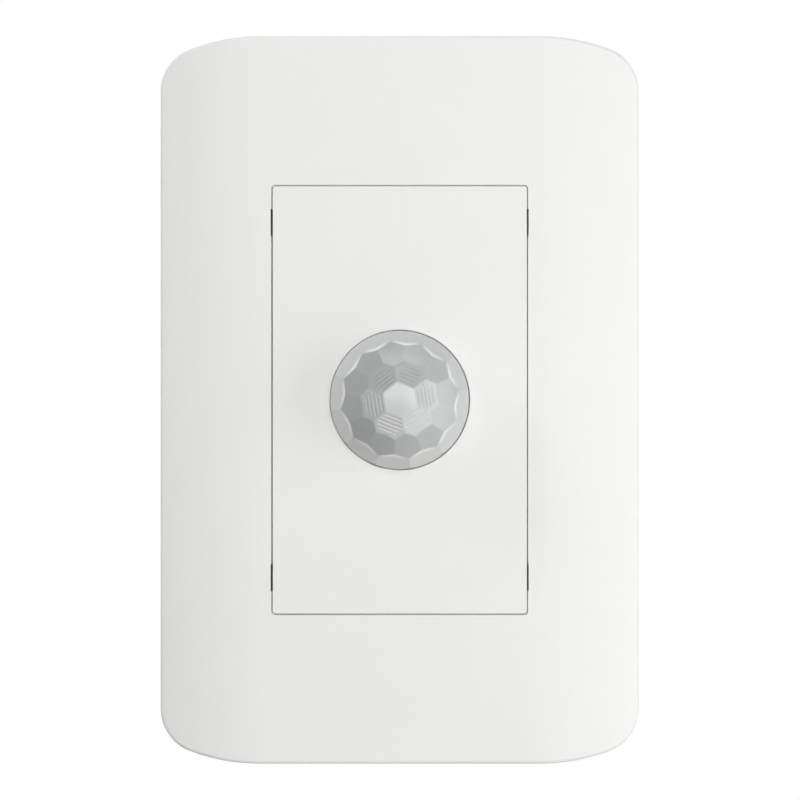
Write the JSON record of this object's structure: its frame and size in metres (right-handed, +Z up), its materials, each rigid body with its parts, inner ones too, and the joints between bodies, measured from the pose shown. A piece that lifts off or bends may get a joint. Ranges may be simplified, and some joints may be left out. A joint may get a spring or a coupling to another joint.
{
  "type": "motion sensor light switch",
  "caption": "Flush wall motion sensor switch: a crowned white cover plate, a flat sensor module in its window and a faceted milky dome lens that watches a room and switches a light.",
  "frame": {"origin": "centre of the wall plane behind the cover plate", "axes": "+X to the right seen from the room, +Y into the wall, +Z up; the room lies at -Y"},
  "size_m": [0.0776, 0.05, 0.118],
  "materials": {
    "plate_white": "satin moulded ABS",
    "frame_white": "plain moulded nylon",
    "housing_white": "plain moulded ABS",
    "lens_milky": "translucent milky polyethylene",
    "black_plastic": "moulded black plastic",
    "zinc_steel": "zinc plated",
    "board_green": "solder mask over glass laminate",
    "pin_brass": "plated",
    "spacer_white": "moulded nylon",
    "can_nickel": "nickel plated",
    "filter_dark": "polished silicon filter",
    "cell_red": "clear lacquer over sulphide track",
    "led_red": "tinted clear resin",
    "lead_tin": "tinned copper",
    "relay_blue": "moulded case",
    "film_yellow": "moulded case",
    "sleeve_dark": "shrunk sleeve",
    "disc_blue": "dipped resin",
    "resistor_tan": "lacquer",
    "block_green": "moulded polyamide",
    "trimmer_blue": "moulded case",
    "spindle_white": "moulded nylon"
  },
  "bodies": {
    "base": {"sensor_face": "plate_white", "support_frame": "frame_white", "rear_housing": "housing_white", "fresnel_lens": "lens_milky", "lens_retainer": "black_plastic", "header_strip": "black_plastic", "control_chip": "black_plastic", "rectifier_diodes": "black_plastic", "retainer_screws": "zinc_steel", "housing_screws": "zinc_steel", "detector_board": "board_green", "power_board": "board_green", "header_pins": "pin_brass", "detector_leads": "pin_brass", "terminal_bars": "pin_brass", "detector_spacer": "spacer_white", "detector_can": "can_nickel", "detector_window": "filter_dark", "light_cell": "cell_red", "indicator_led": "led_red", "chip_leads": "lead_tin", "relay": "relay_blue", "film_capacitor": "film_yellow", "smoothing_capacitor": "sleeve_dark", "varistor": "disc_blue", "fuse_resistor": "resistor_tan", "terminal_block": "block_green", "time_trimmer": "trimmer_blue", "light_trimmer": "trimmer_blue"},
    "cover": {"cover_plate": "plate_white"},
    "time_adjuster": {"time_spindle": "spindle_white"},
    "light_adjuster": {"light_spindle": "spindle_white"},
    "line_driver": {"line_screw": "zinc_steel"},
    "neutral_driver": {"neutral_screw": "zinc_steel"},
    "load_driver": {"load_screw": "zinc_steel"},
    "line_cage": {"line_clamp": "zinc_steel"},
    "neutral_cage": {"neutral_clamp": "zinc_steel"},
    "load_cage": {"load_clamp": "zinc_steel"}
  },
  "joints": [
    {"name": "cover_lift", "type": "slide", "parent": "base", "child": "cover", "axis": [0, -1, 0], "range_m": [0, 0.02]},
    {"name": "time_turn", "type": "hinge", "parent": "base", "child": "time_adjuster", "pos_m": [-0.0085, 0.024, 0.004], "axis": [0, -1, 0], "range_deg": [-135, 135]},
    {"name": "light_turn", "type": "hinge", "parent": "base", "child": "light_adjuster", "pos_m": [0.0085, 0.024, 0.004], "axis": [0, -1, 0], "range_deg": [-135, 135]},
    {"name": "line_screw_turn", "type": "hinge", "parent": "base", "child": "line_driver", "pos_m": [-0.007, 0.0285, -0.02345], "axis": [0, -1, 0], "range_deg": [0, 1440]},
    {"name": "line_clamp_rise", "type": "slide", "parent": "base", "child": "line_cage", "axis": [0, 1, 0], "range_m": [0, 0.0024]},
    {"name": "neutral_screw_turn", "type": "hinge", "parent": "base", "child": "neutral_driver", "pos_m": [0, 0.0285, -0.02345], "axis": [0, -1, 0], "range_deg": [0, 1440]},
    {"name": "neutral_clamp_rise", "type": "slide", "parent": "base", "child": "neutral_cage", "axis": [0, 1, 0], "range_m": [0, 0.0024]},
    {"name": "load_screw_turn", "type": "hinge", "parent": "base", "child": "load_driver", "pos_m": [0.007, 0.0285, -0.02345], "axis": [0, -1, 0], "range_deg": [0, 1440]},
    {"name": "load_clamp_rise", "type": "slide", "parent": "base", "child": "load_cage", "axis": [0, 1, 0], "range_m": [0, 0.0024]}
  ],
  "couplings": [
    {"joint": "line_screw_turn", "follows": "line_clamp_rise", "rad_per_m": 10472},
    {"joint": "neutral_screw_turn", "follows": "neutral_clamp_rise", "rad_per_m": 10472},
    {"joint": "load_screw_turn", "follows": "load_clamp_rise", "rad_per_m": 10472}
  ]
}
